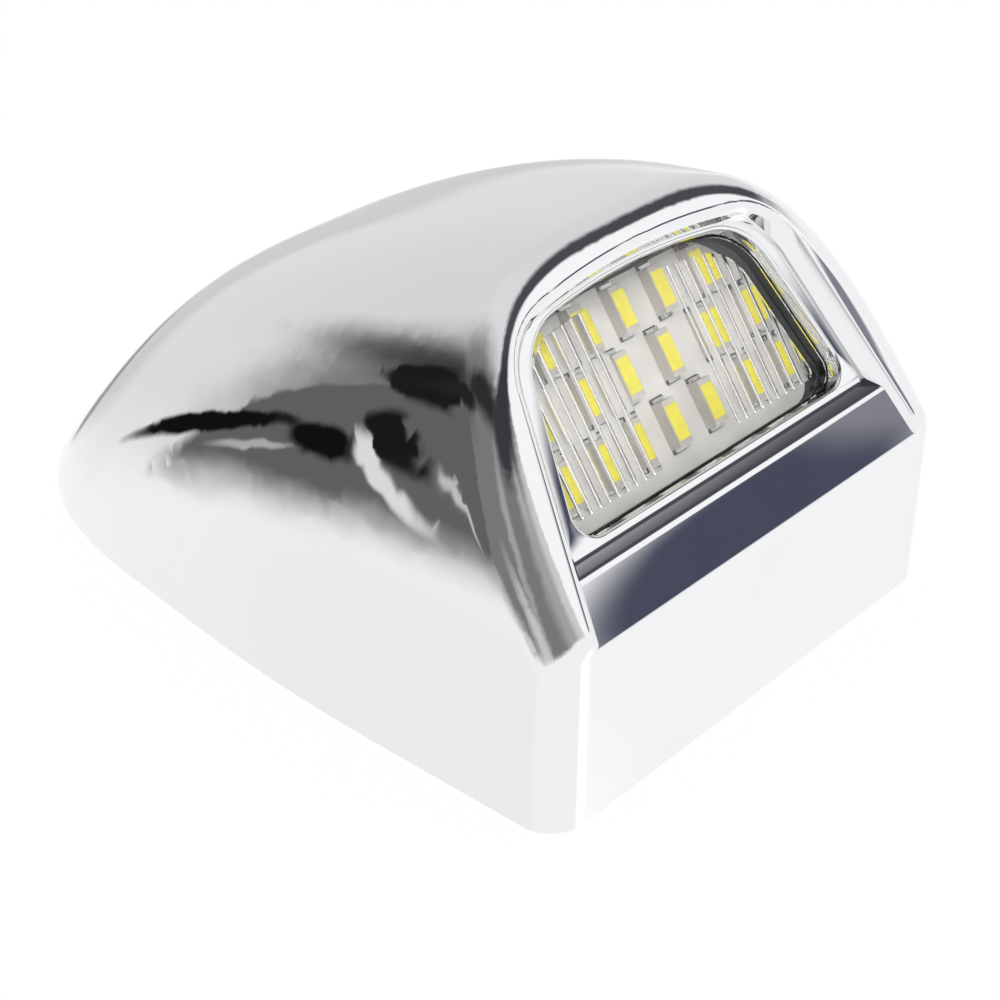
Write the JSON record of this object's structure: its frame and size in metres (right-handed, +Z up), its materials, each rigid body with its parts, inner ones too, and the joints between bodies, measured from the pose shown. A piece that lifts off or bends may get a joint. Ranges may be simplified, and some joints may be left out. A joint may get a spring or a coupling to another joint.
{
  "type": "number plate lamp",
  "caption": "Chrome-plated dome lamp with a sloped face, a fluted clear lens over a board of small LEDs, a closed underside and threaded fixings for a vehicle's plate panel.",
  "frame": {"origin": "centre of the footprint, on the mounting plane under the lamp", "axes": "+Z up from the mounting plane, -Y the way the lit face looks, +X to the right of someone who faces the lit face"},
  "size_m": [0.0526, 0.0766, 0.039],
  "materials": {
    "chrome_plating": "bright chrome plating on moulded plastic",
    "clear_lens": "clear, polished",
    "seal_rubber": "soft, black",
    "board_mask": "pale solder mask on glass-fibre laminate",
    "carrier_plastic": "moulded, black",
    "led_body": "moulded",
    "led_phosphor": "silicone with yellow phosphor",
    "tinned_metal": "tinned",
    "resistor_body": "glazed, black",
    "diode_body": "moulded, black",
    "header_plastic": "moulded, natural",
    "screw_steel": "zinc plated",
    "cover_plastic": "moulded, fine grain",
    "gasket_foam": "closed-cell foam",
    "insert_brass": "turned",
    "grommet_rubber": "moulded"
  },
  "bodies": {
    "root": {"housing": "chrome_plating", "lens": "clear_lens", "lens_seal": "seal_rubber", "circuit_board": "board_mask", "board_carrier": "carrier_plastic", "led_packages": "led_body", "led_phosphors": "led_phosphor", "led_terminals": "tinned_metal", "chip_resistors": "resistor_body", "resistor_caps": "tinned_metal", "polarity_diode": "diode_body", "diode_tabs": "tinned_metal", "header_shroud": "header_plastic", "header_pins": "tinned_metal", "carrier_screws": "screw_steel", "base_cover": "cover_plastic", "cover_seal": "seal_rubber", "cover_screws": "screw_steel", "base_gasket": "gasket_foam", "fixing_inserts": "insert_brass", "cable_grommet": "grommet_rubber"}
  },
  "joints": []
}
